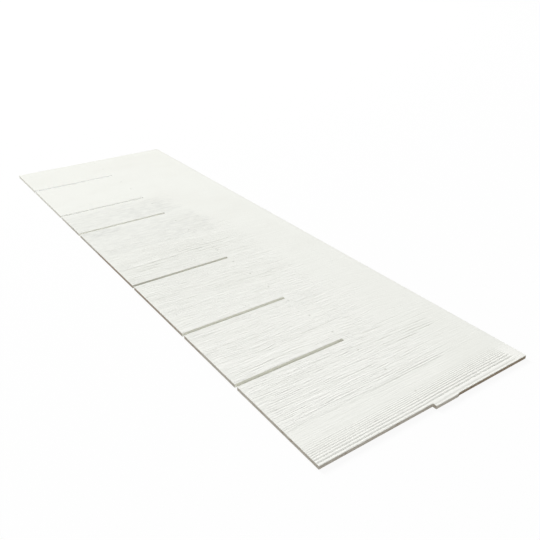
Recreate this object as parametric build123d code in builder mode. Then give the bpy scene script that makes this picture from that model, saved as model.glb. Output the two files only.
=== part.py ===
from build123d import *
import os

# Fibre cement shingle panel: one flat sheet, cut by keyways into a course of mock shingles.
# It lies on its back with the grained face up. X runs along the course from the plain end to the
# tab end, Y up the wall from the butt edge to the head edge, and Z out of the wall.
# The origin is at the middle of the underside, and sizes are in millimetres.

# Driving dimensions
shingle_widths = (133.35, 177.8, 104.775, 257.175, 177.8, 146.05, 177.8)  # from the plain end
panel_height = 387.35         # butt edge to head edge, 15 1/4 in
sheet_thickness = 6.35        # 1/4 in
keyway_width = 6.35           # gap between two shingles, 1/4 in
keyway_length = 193.7         # up from the butt edge, 7 5/8 in
keyway_corner_radius = 1.2
tab_front = 42.9              # straight front of the tab, above the last keyway
tab_shoulder = 4.8            # height of the slope from the tab front back to the trimmed end
end_trim = 1.6                # how far the end above the tab stands back from it, 1/16 in
face_arris = 0.4              # bevel where the face meets the cut edges
nail_pitch = 58.2
first_nail = 18.0             # from the plain end
nail_mark_diameter = 5.0
nail_mark_depth = 0.8
nail_mark_clearance = 2.5     # least distance from a nail mark to a keyway

# Each shingle has a keyway on its tab side, and the last keyway is the step under the tab,
# which the plain end of the next panel closes.
panel_length = sum(shingle_widths) + keyway_width * len(shingle_widths)
plain_end = -panel_length / 2
tab_tip = panel_length / 2
butt_edge = -panel_height / 2
head_edge = panel_height / 2
step_end = tab_tip - keyway_width
trimmed_end = tab_tip - end_trim
keyway_top = butt_edge + keyway_length
tab_top = keyway_top + tab_front
shoulder_top = tab_top + tab_shoulder

keyway_starts = []
shingle_start = plain_end
for width in shingle_widths[:-1]:
    keyway_starts.append(shingle_start + width)
    shingle_start += width + keyway_width

# A nail mark is a shallow round dimple, the cap of a ball that dips into the face. The marks lie
# on the line of the keyway tops, and the few that would run into a keyway are left out.
nail_ball_radius = (nail_mark_diameter**2 / 4 + nail_mark_depth**2) / (2 * nail_mark_depth)
nail_ball_height = sheet_thickness - nail_mark_depth + nail_ball_radius
nail_count = int((panel_length - first_nail - nail_mark_diameter) // nail_pitch) + 1
nail_reach = nail_mark_diameter / 2 + nail_mark_clearance
nail_spots = []
for mark in range(nail_count):
    x = plain_end + first_nail + nail_pitch * mark
    if all(x < start - nail_reach or x > start + keyway_width + nail_reach for start in keyway_starts):
        nail_spots.append((x, keyway_top, nail_ball_height))

# The sheet: its outline with the tab, the keyways with their round corners, then the eased face
with BuildPart() as shingle_panel:
    with BuildSketch(Plane.XY) as outline:
        with BuildLine():
            Polyline(
                (plain_end, butt_edge),
                (step_end, butt_edge),
                (step_end, keyway_top),
                (tab_tip, keyway_top),
                (tab_tip, tab_top),
                (trimmed_end, shoulder_top),
                (trimmed_end, head_edge),
                (plain_end, head_edge),
                close=True,
            )
        make_face()
        with Locations([(start, butt_edge) for start in keyway_starts]):
            Rectangle(keyway_width, keyway_length, align=(Align.MIN, Align.MIN), mode=Mode.SUBTRACT)
        # All corners at the top of the keyways, but not the outer corner of the tab
        keyway_corners = outline.vertices().group_by(Axis.Y)[1].sort_by(Axis.X)[:-1]
        fillet(keyway_corners, radius=keyway_corner_radius)
    extrude(amount=sheet_thickness)

    face = shingle_panel.faces().sort_by(Axis.Z)[-1]
    chamfer(face.edges(), length=face_arris)

    with Locations(nail_spots):
        Sphere(nail_ball_radius, mode=Mode.SUBTRACT)

shingle_panel.part.label = "shingle_panel"
os.makedirs("parts", exist_ok=True)
export_step(shingle_panel.part, "parts/shingle_panel.step")
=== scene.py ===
"""Looks of the fibre cement shingle panel: its embossed sheet, its finishes and a plain studio.

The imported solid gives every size. Its node is hidden, and one detailed mesh stands for it, with wood
grain pressed into the face, an eased face edge, nail marks and bare cut edges.
"""

import logging
import math
from dataclasses import dataclass, replace
from enum import Enum
from functools import lru_cache
from typing import Any, Union

import bpy
import numpy as np
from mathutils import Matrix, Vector
from numpy.typing import NDArray


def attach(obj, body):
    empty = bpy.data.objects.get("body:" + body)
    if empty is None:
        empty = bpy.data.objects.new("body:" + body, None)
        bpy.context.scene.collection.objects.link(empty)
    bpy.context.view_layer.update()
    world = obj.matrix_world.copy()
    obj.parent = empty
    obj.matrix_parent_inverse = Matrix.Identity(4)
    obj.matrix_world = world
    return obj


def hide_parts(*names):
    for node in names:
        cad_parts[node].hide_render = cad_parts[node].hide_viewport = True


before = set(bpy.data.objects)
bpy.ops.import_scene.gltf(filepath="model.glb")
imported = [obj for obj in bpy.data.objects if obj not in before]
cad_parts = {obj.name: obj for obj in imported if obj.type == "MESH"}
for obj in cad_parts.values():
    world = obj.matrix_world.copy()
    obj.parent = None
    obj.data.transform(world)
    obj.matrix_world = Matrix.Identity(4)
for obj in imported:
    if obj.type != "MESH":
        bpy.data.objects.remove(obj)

Array = NDArray[np.float64]
Colour = tuple[float, float, float, float]
Operand = Union["Signal", float]
Pair = tuple[float, float]
Triple = tuple[float, float, float]

LOG = logging.getLogger("shingle_panel")
PANEL_NODE = "shingle_panel"
PANEL_BODY = "root"
MM = 0.001
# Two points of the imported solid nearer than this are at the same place.
SAME_PLACE = 0.02 * MM
# Between these distances from the plain end, in millimetres, the grain turns straight and even.
EVEN_STRETCH = (985.0, 1070.0)
# Beside a keyway, the pull of its round corners on the grid fades over this many corner radii.
CORNER_FADE = 4.0


class Surface(Enum):
    """The kinds of surface on the panel. Each value is the index of the surface's material."""

    FACE = 0
    SEALED_EDGE = 1
    RAW_CUT = 2
    KEYWAY_WALL = 3
    BACK = 4


def screen(red: int, green: int, blue: int) -> Colour:
    """Turns an 8-bit screen colour into the scene's linear colour.

    Args:
        red: Red, from 0 to 255.
        green: Green, from 0 to 255.
        blue: Blue, from 0 to 255.

    Returns:
        The linear colour with full alpha.
    """
    shares = (red / 255, green / 255, blue / 255)
    linear = [s / 12.92 if s <= 0.04045 else ((s + 0.055) / 1.055) ** 2.4 for s in shares]
    return (linear[0], linear[1], linear[2], 1.0)


def ease(values: Array | float, low: float, high: float) -> Array:
    """Rises smoothly from 0 at low to 1 at high.

    Args:
        values: Where to read the curve.
        low: The value at which the curve leaves 0.
        high: The value at which the curve reaches 1.

    Returns:
        The height of the curve at each value.
    """
    share = np.clip((values - low) / (high - low), 0.0, 1.0)
    return share * share * (3.0 - 2.0 * share)


@dataclass(frozen=True)
class PanelLayout:
    """Where the edges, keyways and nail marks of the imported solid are, in metres.

    Attributes:
        plain_end: The X of the plain end.
        step_end: The X of the step under the tab.
        trimmed_end: The X of the end above the tab.
        tab_tip: The X of the tab's front.
        butt: The Y of the butt edge.
        keyway_top: The Y of the keyway tops.
        tab_top: The Y at which the tab's front ends.
        shoulder_top: The Y at which the slope above the tab ends.
        head: The Y of the head edge.
        thickness: The thickness of the sheet.
        arris: The width of the eased face edge.
        keyways: The X of both sides of each keyway.
        keyway_corner: The radius of a keyway's corners.
        nail_marks: The X and Y of each nail mark.
        nail_depth: The depth of a nail mark.
        nail_radius: Half its width.
    """

    plain_end: float
    step_end: float
    trimmed_end: float
    tab_tip: float
    butt: float
    keyway_top: float
    tab_top: float
    shoulder_top: float
    head: float
    thickness: float
    arris: float
    keyways: tuple[Pair, ...]
    keyway_corner: float
    nail_marks: tuple[Pair, ...]
    nail_depth: float
    nail_radius: float

    @classmethod
    def from_node(cls, node: bpy.types.Object) -> "PanelLayout":
        """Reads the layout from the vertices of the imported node.

        Args:
            node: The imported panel, whose place is in its mesh.

        Returns:
            The layout of the panel.
        """
        points = np.array([vertex.co for vertex in node.data.vertices], dtype=float)
        low, high = points.min(axis=0), points.max(axis=0)
        under = points[points[:, 2] < low[2] + SAME_PLACE]

        # Along the butt edge the corners are the plain end, both sides of each keyway and the step.
        at_butt = under[under[:, 1] < low[1] + SAME_PLACE, 0]
        plain_end, *sides, step_end = (float(x) for x in np.unique(np.round(at_butt, 6)))
        keyways = tuple(zip(sides[::2], sides[1::2]))

        at_tip = under[under[:, 0] > high[0] - SAME_PLACE, 1]
        keyway_top, tab_top = float(at_tip.min()), float(at_tip.max())
        first_side = under[np.abs(under[:, 0] - sides[0]) < SAME_PLACE, 1]
        trimmed_end = float(under[under[:, 1] > high[1] - SAME_PLACE, 0].max())
        at_trim = under[np.abs(under[:, 0] - trimmed_end) < SAME_PLACE, 1]

        # Under each point of a wall is a corner of the back, but none is under a nail mark.
        wall_top = points[points[:, 0] < low[0] + SAME_PLACE, 2].max()
        corners = {tuple(place) for place in np.round(under[:, :2], 5)}
        below_face = points[points[:, 2] < high[2] - SAME_PLACE]
        dips = np.array([p for p in below_face if tuple(np.round(p[:2], 5)) not in corners])
        mark_floor = dips[:, 2].min()
        marks = np.unique(np.round(dips[dips[:, 2] < mark_floor + SAME_PLACE, :2], 5), axis=0)
        on_face = points[points[:, 2] > high[2] - SAME_PLACE, :2]
        rim = np.linalg.norm(on_face - marks[0], axis=1).min()
        return cls(
            plain_end=plain_end,
            step_end=step_end,
            trimmed_end=trimmed_end,
            tab_tip=float(high[0]),
            butt=float(low[1]),
            keyway_top=keyway_top,
            tab_top=tab_top,
            shoulder_top=float(at_trim.min()),
            head=float(high[1]),
            thickness=float(high[2] - low[2]),
            arris=float(high[2] - wall_top),
            keyways=keyways,
            keyway_corner=keyway_top - float(first_side.max()),
            nail_marks=tuple((float(x), float(y)) for x, y in marks),
            nail_depth=float(high[2] - mark_floor),
            nail_radius=float(rim),
        )

    def stretch(self, places: Pair) -> Pair:
        """Gives the X of two places that are named in millimetres from the plain end."""
        return self.plain_end + places[0] * MM, self.plain_end + places[1] * MM

    def end_at(self, y: Array) -> Array:
        """Gives the X of the tab end at each Y above the keyway tops: tab, shoulder, then the trim."""
        turns = (self.tab_top, self.shoulder_top)
        return np.interp(y, turns, (self.tab_tip, self.trimmed_end))

    def corner_drop(self, x: Array) -> Array:
        """Says how far the round keyway corners pull the line of the keyway tops down.

        The pull is the true arc inside a keyway, and fades out in the sheet beside it.

        Args:
            x: Places along the panel.

        Returns:
            The drop at each place.
        """
        radius, fade = self.keyway_corner, CORNER_FADE * self.keyway_corner
        drop = np.zeros_like(x)
        for start, end in (*self.keyways, (self.step_end, math.inf)):
            inside = np.minimum(x - start, end - x)
            run = np.clip(radius - inside, 0.0, radius)
            arc = radius - np.sqrt(radius**2 - run**2)
            beside = radius * np.clip(1.0 + inside / fade, 0.0, 1.0)
            drop = np.maximum(drop, np.where(inside >= 0.0, arc, beside))
        return drop

    def edge_distance(self, x: Array, y: Array) -> Array:
        """Measures how far points of the face are from the nearest edge of the sheet.

        Args:
            x: Places along the panel.
            y: Places up the panel, in the same shape.

        Returns:
            The distances, which are 0 on the outline.
        """
        distance = np.minimum.reduce([
            x - self.plain_end,
            y - self.butt,
            self.head - y,
            np.where(y >= self.keyway_top - self.keyway_corner, self.end_at(y), self.tab_tip) - x,
        ])
        radius = self.keyway_corner
        for start, end in (*self.keyways, (self.step_end, math.inf)):
            past = np.maximum(start + radius - x, x - (end - radius))
            over = y - (self.keyway_top - radius)
            outside = np.hypot(np.maximum(past, 0.0), np.maximum(over, 0.0))
            inside = np.minimum(np.maximum(past, over), 0.0)
            distance = np.minimum(distance, outside + inside - radius)
        return np.maximum(distance, 0.0)


@dataclass(frozen=True)
class Groove:
    """One groove of the grain, in millimetres.

    Attributes:
        along: Distance from the plain end, before the grain bends.
        foot: Where the groove starts, up from the butt edge.
        top: Where it ends.
        depth: Depth along its middle.
        width: Half its width, where it is a third as deep.
        run_out: Over how much of its length each end rises to the face.
    """

    along: float
    foot: float
    top: float
    depth: float
    width: float
    run_out: float = 24.0


@dataclass(frozen=True)
class Bend:
    """One size of the bends that all grooves follow together, in millimetres.

    Attributes:
        sweep: How far a groove swings to each side.
        width: The width over which the grooves swing together.
        length: The length of a swing.
        start: Where on the lattice of the noise the bends start.
    """

    sweep: float
    width: float
    length: float
    start: Pair = (0.0, 0.0)


@dataclass(frozen=True)
class Fan:
    """A place where the grain spreads as it runs up the panel, in millimetres.

    Attributes:
        along: Distance of its middle from the plain end.
        reach: How far the spreading goes to each side.
        slope: How much wider the grain gets per millimetre of height.
    """

    along: float
    reach: float
    slope: float


class LatticeNoise:
    """Smooth repeatable noise on a square lattice of random heights."""

    def __init__(self, seed: int, size: int = 256) -> None:
        """Draws the lattice from a seed."""
        self.size = size
        self.heights = np.random.default_rng(seed).uniform(-1.0, 1.0, (size, size))

    def at(self, x: Array | float, y: Array | float) -> Array:
        """Reads the noise, from -1 to 1, at lattice coordinates.

        Args:
            x: First coordinate, where one unit is one lattice cell.
            y: Second coordinate, in the same shape.

        Returns:
            The noise at each point.
        """
        column, row = np.floor(x).astype(int), np.floor(y).astype(int)
        across, up = x - column, y - row
        across, up = across**2 * (3 - 2 * across), up**2 * (3 - 2 * up)
        left, right = column % self.size, (column + 1) % self.size
        low, high = row % self.size, (row + 1) % self.size
        bottom = self.heights[low, left] * (1 - across) + self.heights[low, right] * across
        top = self.heights[high, left] * (1 - across) + self.heights[high, right] * across
        return bottom * (1 - up) + top * up


@lru_cache
def lattice(seed: int) -> LatticeNoise:
    """Gives the noise of a seed, which is drawn only once."""
    return LatticeNoise(seed)


@dataclass(frozen=True)
class WoodGrain:
    """The wood grain pressed into the face, in millimetres from the plain end and the butt edge.

    Grooves run up the panel in lanes. They bend together, come and go along their lanes, and give
    way to bold straight ridges at the tab end.

    Attributes:
        depths: (place along the panel, depth of the deepest grooves there).
        depth_spread: The least share of that depth, and a power that makes deep grooves rare.
        calm: Where the grooves start and stop fading towards the head edge, and the share that stays.
        patches: Width and length of the patches the grain comes in, and the share left between them.
        patch_edge: The levels of the noise between which a patch sets in.
        even_patches: How much weaker the patches are where the grain is even.
        widths: Half the width of a usual groove at the plain end and at the tab end.
        width_spread: The smallest and largest share of that width.
        lane_gaps: The smallest and largest gap between two lanes.
        end_gap: The gap from the plain end to the first lane, and from the last to the ridges.
        lengths: The shortest and longest groove.
        breaks: The shortest and longest break between two grooves of a lane.
        ragged: How unevenly the grooves stop at the smooth strip.
        unevenness: How much deeper or shallower a groove is from place to place.
        uneven_length: The length of one such change.
        lane_step: How far apart on the lattice of the noise two lanes are, per millimetre.
        reach: How far a groove is pressed to each side, in half widths.
        bold: Grooves that stand out, besides the ridges of the tab end.
        bold_share: How much of their depth the bold ones keep.
        bends: The bends that all grooves follow.
        even_bends: How much weaker the bends are where the grain is even.
        fans: Where the grain spreads.
        fan_level: The height at which the fans leave the grain in its place.
        straight: Where the grain starts and stops to straighten into the ridges, and by which share.
        ridge_lines: The grooves between the ridges of the tab end.
        ridge_depths: The depth of the first and the last of them.
        ridge_power: How late they get deep.
        ridge_widths: Half the width of the first and the last of them.
        ridge_foot: Where they start, up from the butt edge.
        ridge_run_out: Over how much of their length they rise to the face.
        ridge_lean: Between which heights the ridges lean from the tab end, and how far.
        ridge_rise: How much deeper they get on the same way.
        margin: Width of the smooth strip along the head edge.
        margin_fade: Where the soft waves start and stop fading, up from the strip's lower edge.
        swell: Height of the soft waves between the grooves, as a share of the depth there.
        swell_sizes: Width and length of the fine and of the broad waves.
        broad: The share of the broad waves, and where it starts and stops to fade.
        seed: Where the random draws start. Each use of them adds its own number.
    """

    depths: tuple[Pair, ...] = (
        (0, 0.13), (330, 0.16), (470, 0.28), (560, 0.38), (600, 0.58), (680, 0.58), (700, 0.38),
        (785, 0.36), (900, 0.36), (1000, 0.38), (1060, 0.42), (1142, 0.40), (1152, 0.20), (1219, 0.20),
    )
    depth_spread: Pair = (0.2, 1.6)
    calm: Triple = (230.0, 310.0, 0.4)
    patches: Triple = (30.0, 75.0, 0.6)
    patch_edge: Pair = (-0.15, 0.45)
    even_patches: float = 0.7
    widths: Pair = (1.9, 1.15)
    width_spread: Pair = (0.75, 1.25)
    lane_gaps: Pair = (2.8, 6.0)
    end_gap: float = 2.0
    lengths: Pair = (26.0, 120.0)
    breaks: Pair = (4.0, 40.0)
    ragged: float = 5.0
    unevenness: float = 0.45
    uneven_length: float = 27.0
    lane_step: float = 0.61
    reach: float = 3.0
    bold: tuple[Groove, ...] = (
        Groove(1216.6, 188, 372, 0.70, 1.5, 9.0), Groove(1147.5, 128, 300, 0.66, 1.1),
        Groove(1143.0, 165, 305, 0.54, 1.1), Groove(1136.0, 56, 250, 0.40, 1.1),
        Groove(1134.0, 226, 290, 0.50, 1.1), Groove(1131.5, 10, 330, 0.44, 1.1),
        Groove(1120.5, -20, 70, 0.42, 1.1), Groove(1107.0, 20, 110, 0.44, 1.1),
        Groove(1104.5, 90, 210, 0.60, 1.1), Groove(1102.0, 222, 282, 0.52, 1.2),
        Groove(1096.5, 226, 272, 0.50, 1.2), Groove(1091.0, 214, 272, 0.46, 1.2),
        Groove(1091.0, 6, 120, 0.44, 1.1), Groove(1084.0, -10, 135, 0.40, 1.1),
        Groove(1080.0, 214, 310, 0.80, 1.3), Groove(1073.5, 214, 350, 0.66, 1.3),
        Groove(1067.0, 210, 350, 0.62, 1.3), Groove(1060.5, 150, 352, 0.54, 1.4),
        Groove(1065.0, 4, 135, 0.42, 1.4), Groove(1054.0, 100, 352, 0.48, 1.4),
        Groove(1042.5, 186, 350, 0.44, 1.4), Groove(1034.5, 188, 352, 0.44, 1.4),
        Groove(1028.0, 200, 352, 0.38, 1.4), Groove(1020.0, 90, 225, 0.42, 1.5),
        Groove(1009.0, -10, 140, 0.62, 1.5), Groove(980.0, 60, 256, 0.50, 1.6),
        Groove(969.5, 80, 190, 0.42, 1.6), Groove(940.0, -10, 70, 0.46, 1.5),
        Groove(903.0, -10, 66, 0.52, 1.5), Groove(894.0, 112, 204, 0.50, 1.6),
        Groove(889.0, -10, 170, 0.42, 1.6), Groove(848.0, 120, 184, 0.60, 1.8),
        Groove(833.0, 152, 204, 0.70, 1.8, 14.0), Groove(795.5, 190, 250, 0.44, 1.9),
        Groove(787.0, -10, 100, 0.66, 2.0), Groove(784.0, 110, 250, 0.46, 2.0),
        Groove(758.0, -10, 66, 0.46, 2.0), Groove(716.0, 210, 290, 0.50, 2.0),
        Groove(684.5, 84, 200, 0.42, 2.2), Groove(654.5, 20, 80, 0.88, 1.8, 16.0),
        Groove(655.0, 180, 236, 0.90, 1.8, 16.0), Groove(645.0, 150, 228, 0.94, 1.8, 18.0),
        Groove(643.5, 14, 84, 0.84, 1.8, 18.0), Groove(634.0, -10, 110, 0.96, 1.8),
        Groove(633.0, 90, 240, 1.02, 1.8), Groove(623.5, 110, 262, 0.94, 1.8),
        Groove(613.0, 96, 190, 0.72, 1.8),
    )
    bold_share: float = 0.8
    bends: tuple[Bend, ...] = (
        Bend(4.2, 95.0, 190.0), Bend(1.8, 26.0, 62.0, (90.5, 31.5)), Bend(0.45, 7.0, 26.0, (17.5, 61.5)),
    )
    even_bends: float = 0.75
    fans: tuple[Fan, ...] = (
        Fan(1024, 46, 0.0022), Fan(836, 40, -0.0016), Fan(676, 44, 0.0018), Fan(520, 42, -0.0016),
        Fan(330, 45, 0.0016), Fan(128, 45, -0.0016),
    )
    fan_level: float = 150.0
    straight: Triple = (1150.0, 1180.0, 0.85)
    ridge_lines: tuple[float, ...] = (
        1176.5, 1179.8, 1183.0, 1186.0, 1189.2, 1192.3, 1195.6, 1199.4, 1204.0, 1209.0,
    )
    ridge_depths: Pair = (0.18, 0.96)
    ridge_power: float = 1.15
    ridge_widths: Pair = (0.85, 1.15)
    ridge_foot: float = -40.0
    ridge_run_out: float = 9.0
    ridge_lean: Triple = (150.0, 290.0, 2.5)
    ridge_rise: float = 0.22
    margin: float = 20.0
    margin_fade: Pair = (-3.0, 1.0)
    swell: float = 0.34
    swell_sizes: tuple[Pair, Pair] = ((2.7, 80.0), (5.6, 110.0))
    broad: Triple = (0.8, 660.0, 960.0)
    seed: int = 11

    def looseness(self, along: Array | float) -> Array:
        """Says how freely the grain wanders: 1 over most of the face, less in the straight ridges."""
        start, end, share = self.straight
        return 1.0 - share * ease(along, start, end)

    def evenness(self, along: Array | float) -> Array:
        """Says how straight and even the grain is: 0 over most of the face, 1 from the last keyway on."""
        return ease(along, *EVEN_STRETCH)

    def calmed(self, along: Array | float, up: Array | float) -> Array:
        """Says how much of the grain is left: less towards the head edge, but not in the ridges.

        Args:
            along: Distance from the plain end.
            up: Distance from the butt edge, in a shape that goes with it.

        Returns:
            The share of the grain's depth.
        """
        from_up, to_up, left = self.calm
        return 1.0 - (1.0 - left) * self.looseness(along) * ease(up, from_up, to_up)

    def patchy(self, along: Array | float, up: Array | float) -> Array:
        """Says how much of the grain there is: all of it in its patches, and less between them.

        Args:
            along: Distance of the lane from the plain end.
            up: Distance from the butt edge, in a shape that goes with it.

        Returns:
            The share of the grain's depth.
        """
        width, length, left = self.patches
        level = lattice(self.seed + 4).at(along / width, up / length)
        gaps = (1.0 - ease(level, *self.patch_edge)) * (1.0 - self.even_patches * self.evenness(along))
        return 1.0 - (1.0 - left) * self.looseness(along) * gaps

    def bend(self, along: Array, up: Array) -> Array:
        """Says how far the grain is bent out of its straight lanes.

        Args:
            along: Distance of the lane from the plain end.
            up: Distance from the butt edge, in the same shape.

        Returns:
            The distance along the panel.
        """
        noise, shift = lattice(self.seed), np.zeros_like(along)
        for size in self.bends:
            column, row = size.start
            shift += size.sweep * noise.at(along / size.width + column, up / size.length + row)
        shift *= self.looseness(along) * (1.0 - self.even_bends * self.evenness(along))
        from_up, to_up, lean = self.ridge_lean
        shift -= lean * (1.0 - self.looseness(along)) * ease(up, from_up, to_up)
        for fan in self.fans:
            side = along - fan.along
            shift += side * np.exp(-((side / fan.reach) ** 2)) * fan.slope * (up - self.fan_level)
        return shift

    def grooves(self, panel_height: float) -> list[Groove]:
        """Lays out all grooves: the bold ones, the random lanes and the ridges of the tab end.

        Args:
            panel_height: Distance from the butt edge to the head edge.

        Returns:
            The grooves.
        """
        draw = np.random.default_rng(self.seed + 1)
        places, depths = zip(*self.depths)
        least, rarity = self.depth_spread
        top = panel_height - self.margin
        found = [replace(groove, depth=groove.depth * self.bold_share) for groove in self.bold]
        along = self.end_gap
        while along < self.ridge_lines[0] - self.end_gap:
            width = np.interp(along, places[::len(places) - 1], self.widths)
            up = -draw.uniform(*self.breaks)
            while up < top:
                end = up + draw.uniform(*self.lengths)
                middle = (up + end) / 2
                depth = np.interp(along, places, depths) * (least + (1.0 - least) * draw.random() ** rarity)
                depth *= self.calmed(along, middle) * self.patchy(along, middle)
                stop = min(end, top - self.ragged * draw.random() ** 2)
                found.append(Groove(along, up, stop, depth, width * draw.uniform(*self.width_spread)))
                up = end + draw.uniform(*self.breaks)
            along += draw.uniform(*self.lane_gaps)
        return found + self.ridges(top)

    def ridges(self, top: float) -> list[Groove]:
        """Lays out the grooves between the ridges, which get deeper and wider towards the tab end.

        Args:
            top: Where the smooth strip starts, up from the butt edge.

        Returns:
            The grooves.
        """
        shares = np.linspace(0.0, 1.0, len(self.ridge_lines))
        depths = np.interp(shares**self.ridge_power, (0.0, 1.0), self.ridge_depths)
        widths = np.interp(shares, (0.0, 1.0), self.ridge_widths)
        return [
            Groove(line, self.ridge_foot, top + self.ragged * share, depth, width, self.ridge_run_out)
            for line, share, depth, width in zip(self.ridge_lines, shares, depths, widths)
        ]

    def height(self, along: Array, up: Array, panel_height: float) -> Array:
        """Gives the height of the face above its highest level, so 0 or less.

        Args:
            along: Distance of each grid point from the plain end, by row and column.
            up: Distance of each grid point from the butt edge.
            panel_height: Distance from the butt edge to the head edge.

        Returns:
            The height at each point.
        """
        places, depths = zip(*self.depths)
        noise, lane = lattice(self.seed + 2), along - self.bend(along, up)
        fine, broad = (noise.at(lane / width, up / length) for width, length in self.swell_sizes)
        share = self.broad[0] * (1.0 - ease(along, *self.broad[1:]))
        waves = fine + share * (broad - fine)
        height = self.swell * np.interp(along, places, depths) * (waves * self.patchy(lane, up) - 1.0)
        from_up, to_up = (panel_height - self.margin + offset for offset in self.margin_fade)
        height *= (1.0 - ease(up, from_up, to_up)) * self.calmed(along, up)
        for groove in self.grooves(panel_height):
            self._press(groove, height, along, up[:, 0])
        return height

    def _press(self, groove: Groove, height: Array, along: Array, rows: Array) -> None:
        """Presses one groove into the face.

        Args:
            groove: The groove.
            height: The height at each grid point, which the groove lowers.
            along: Distance of each grid point from the plain end.
            rows: Distance of each row of the grid from the butt edge.
        """
        low, high = np.searchsorted(rows, (groove.foot, groove.top))
        if low >= high:
            return
        level = rows[low:high]
        lane = np.full_like(level, groove.along)
        middle = groove.along + self.bend(lane, level)
        reach = self.reach * groove.width
        left = np.searchsorted(along.max(axis=0), middle.min() - reach)
        right = np.searchsorted(along.min(axis=0), middle.max() + reach)
        aside = (along[low:high, left:right] - middle[:, None]) / groove.width

        ends = ease(np.minimum(level - groove.foot, groove.top - level), 0.0, groove.run_out)
        loose = self.looseness(lane)
        noise = lattice(self.seed + 3).at(lane * self.lane_step, level / self.uneven_length)
        uneven = 1.0 + self.unevenness * loose * noise
        raised = 1.0 + self.ridge_rise * (1.0 - loose) * ease(level, *self.ridge_lean[:2])
        cut = -groove.depth * (ends * uneven * raised)[:, None] * np.exp(-(aside**2))
        patch = height[low:high, left:right]
        np.minimum(patch, cut, out=patch)


class Signal:
    """A node output that takes part in Python arithmetic by adding Math nodes."""

    def __init__(self, bench: "FinishBench", socket: bpy.types.NodeSocket) -> None:
        """Keeps the socket with the bench that adds its nodes."""
        self.bench = bench
        self.socket = socket

    def _math(self, operation: str, first: Operand, second: Operand) -> "Signal":
        """Adds one Math node on two operands."""
        return self.bench.add("ShaderNodeMath", {"operation": operation}, {0: first, 1: second})

    def __add__(self, other: Operand) -> "Signal":
        """Adds a signal or number."""
        return self._math("ADD", self, other)

    def __radd__(self, other: Operand) -> "Signal":
        """Adds this signal to a number."""
        return self._math("ADD", other, self)

    def __sub__(self, other: Operand) -> "Signal":
        """Takes away a signal or number."""
        return self._math("SUBTRACT", self, other)

    def __rsub__(self, other: Operand) -> "Signal":
        """Takes this signal away from a number."""
        return self._math("SUBTRACT", other, self)

    def __mul__(self, other: Operand) -> "Signal":
        """Multiplies by a signal or number."""
        return self._math("MULTIPLY", self, other)

    def __rmul__(self, other: Operand) -> "Signal":
        """Multiplies a number by this signal."""
        return self._math("MULTIPLY", other, self)

    def outlet(self, name: str) -> "Signal":
        """Gives another output of the same node."""
        return Signal(self.bench, self.socket.node.outputs[name])

    def between(self, first: float, second: float) -> "Signal":
        """Goes from a first value where this signal is 0 to a second value where it is 1."""
        return first + (second - first) * self

    def band(self, start: float, end: float, rise: float, fall: float) -> "Signal":
        """Is 1 inside a band of this signal, which it enters and leaves smoothly.

        Args:
            start: The level at which the band starts.
            end: The level at which it ends.
            rise: Over how much after the start it rises to 1.
            fall: Over how much before the end it falls to 0.

        Returns:
            The band.
        """
        return self.ease(start, start + rise) * (1 - self.ease(end - fall, end))

    def ease(self, low: float, high: float) -> "Signal":
        """Rises smoothly from 0 where this signal is low to 1 where it is high.

        Args:
            low: The level that gives 0.
            high: The level that gives 1.

        Returns:
            The eased signal.
        """
        return self.bench.add(
            "ShaderNodeMapRange",
            {"interpolation_type": "SMOOTHSTEP"},
            {"Value": self, "From Min": low, "From Max": high},
        )


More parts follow.
